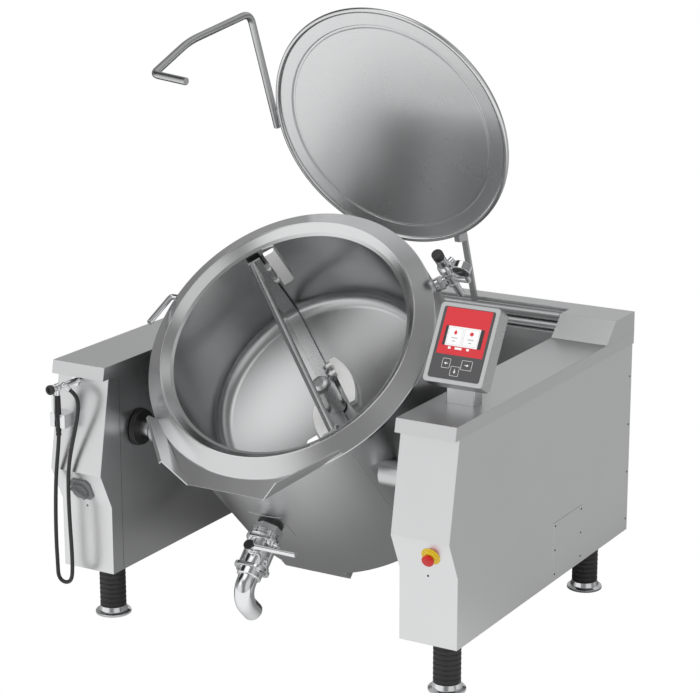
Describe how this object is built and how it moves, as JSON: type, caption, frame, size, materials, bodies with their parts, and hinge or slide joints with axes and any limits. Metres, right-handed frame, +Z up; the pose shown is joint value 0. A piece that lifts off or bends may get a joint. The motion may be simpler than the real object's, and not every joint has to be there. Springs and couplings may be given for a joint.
{
  "type": "steam jacketed kettle",
  "caption": "Tilting steam jacketed kettle with stirrer, hinged lid, pour lip, drain valve, control panel and spray gun, hung between leg-mounted columns.",
  "frame": {"origin": "on the floor, under the middle of the machine's whole width and depth with the kettle tipped forward", "axes": "+X to the machine's right as its operator faces it, +Y to the rear, +Z up"},
  "size_m": [1.474, 1.4344, 1.9971],
  "materials": {
    "column_sheet": "fine vertical grain",
    "column_top": "fine grain along the column",
    "satin_steel": "satin",
    "casing_steel": "brushed round the kettle",
    "bowl_steel": "fine ground",
    "polished_steel": "bright satin",
    "chrome": "polished",
    "black_rubber": "matt",
    "black_plastic": "satin",
    "grey_plastic": "satin",
    "white_plastic": "machined",
    "yellow_plastic": "smooth",
    "red_plastic": "smooth",
    "dark_glass": "gloss, printed behind",
    "cast_housing": "grey paint",
    "grey_box": "light grey paint"
  },
  "bodies": {
    "frame": {"column_shell_left": "column_sheet", "column_shell_right": "column_sheet", "column_cap_left": "column_top", "column_cap_right": "column_top", "column_bases": "column_sheet", "foot_sleeves": "black_rubber", "foot_bases": "chrome", "service_panel": "column_sheet", "rear_bridge": "column_top", "lid_bearings": "satin_steel", "trunnion_bearings": "cast_housing", "trunnion_seals": "black_rubber", "tilt_drive": "cast_housing", "supply_pipes": "satin_steel", "electrics_box": "grey_box", "control_post": "satin_steel", "control_box": "satin_steel", "control_glass": "dark_glass", "estop_base": "yellow_plastic", "isolator_base": "grey_plastic", "hose_outlet": "chrome", "spray_hose": "black_rubber", "gun_grip": "black_rubber", "gun_head": "chrome", "gun_holder": "chrome"},
    "kettle": {"bowl": "bowl_steel", "steam_jacket": "satin_steel", "casing": "casing_steel", "rim_collar": "polished_steel", "pour_lip": "polished_steel", "trunnions": "satin_steel", "grab_handle": "chrome", "motor_cover": "casing_steel", "stirrer_drive": "cast_housing", "stirrer_seal": "black_rubber", "drain_pipe": "chrome", "drain_seal": "black_rubber", "drain_valve": "chrome", "drain_elbow": "chrome", "safety_tee": "chrome", "safety_valve": "chrome", "pressure_gauge": "chrome"},
    "stirrer": {"stirrer_hub": "satin_steel", "stirrer_top_bar": "satin_steel", "stirrer_frame": "satin_steel"},
    "wall_scraper_a": {"wall_scraper_a": "white_plastic"},
    "wall_scraper_b": {"wall_scraper_b": "white_plastic"},
    "floor_scraper_a": {"floor_scraper_a": "white_plastic"},
    "floor_scraper_b": {"floor_scraper_b": "white_plastic"},
    "lid": {"lid_skin": "casing_steel", "lid_rim": "polished_steel", "lid_lining": "casing_steel", "lid_hinge": "satin_steel", "lid_handle": "satin_steel"},
    "drain_lever": {"drain_lever": "chrome", "lever_cap": "black_plastic"},
    "vent_cap": {"vent_cap": "black_plastic"},
    "estop_button": {"estop_head": "red_plastic"},
    "main_switch": {"isolator_knob": "grey_plastic"},
    "gun_trigger": {"gun_trigger": "chrome"}
  },
  "joints": [
    {"name": "kettle_tilt", "type": "hinge", "parent": "frame", "child": "kettle", "pos_m": [0, -0.37576, 0.6565], "axis": [1, 0, 0], "range_deg": [-45.4, 44.6]},
    {"name": "lid_hinge", "type": "hinge", "parent": "frame", "child": "lid", "pos_m": [0, 0.61894, 0.9433], "axis": [1, 0, 0], "range_deg": [0, 20]},
    {"name": "stirrer_spin", "type": "hinge", "parent": "kettle", "child": "stirrer", "pos_m": [0, -0.00594, 0.70752], "axis": [0, -0.712, 0.7022], "continuous": true},
    {"name": "wall_scraper_a_hinge", "type": "hinge", "parent": "stirrer", "child": "wall_scraper_a", "pos_m": [-0.2299, -0.05884, 1.16231], "axis": [0, 0.712, -0.7022], "range_deg": [0, 10]},
    {"name": "wall_scraper_b_hinge", "type": "hinge", "parent": "stirrer", "child": "wall_scraper_b", "pos_m": [0.2299, -0.46142, 0.75407], "axis": [0, 0.712, -0.7022], "range_deg": [0, 10]},
    {"name": "floor_scraper_a_hinge", "type": "hinge", "parent": "stirrer", "child": "floor_scraper_a", "pos_m": [-0.04416, 0.03489, 0.80304], "axis": [0.699, -0.5021, -0.5092], "range_deg": [0, 8]},
    {"name": "floor_scraper_b_hinge", "type": "hinge", "parent": "stirrer", "child": "floor_scraper_b", "pos_m": [0.04416, -0.10087, 0.66537], "axis": [-0.699, 0.5021, 0.5092], "range_deg": [0, 8]},
    {"name": "drain_lever_turn", "type": "hinge", "parent": "kettle", "child": "drain_lever", "pos_m": [0, -0.54329, 0.39476], "axis": [0, -0.712, 0.7022], "range_deg": [-90, 0]},
    {"name": "vent_cap_lift", "type": "slide", "parent": "kettle", "child": "vent_cap", "axis": [0, -0.712, 0.7022], "range_m": [0, 0.004], "stiffness_N_per_m": 2500},
    {"name": "stop_button_push", "type": "slide", "parent": "frame", "child": "estop_button", "axis": [0, 0.9088, 0.4172], "range_m": [0, 0.005], "stiffness_N_per_m": 3000},
    {"name": "main_switch_turn", "type": "hinge", "parent": "frame", "child": "main_switch", "pos_m": [-0.633, -0.56451, 0.48027], "axis": [0, -0.9088, -0.4172], "range_deg": [0, 90]},
    {"name": "gun_trigger_squeeze", "type": "hinge", "parent": "frame", "child": "gun_trigger", "pos_m": [-0.686, -0.63126, 0.8077], "axis": [1, 0, 0], "range_deg": [0, 7], "stiffness_Nm_per_rad": 1.5}
  ]
}
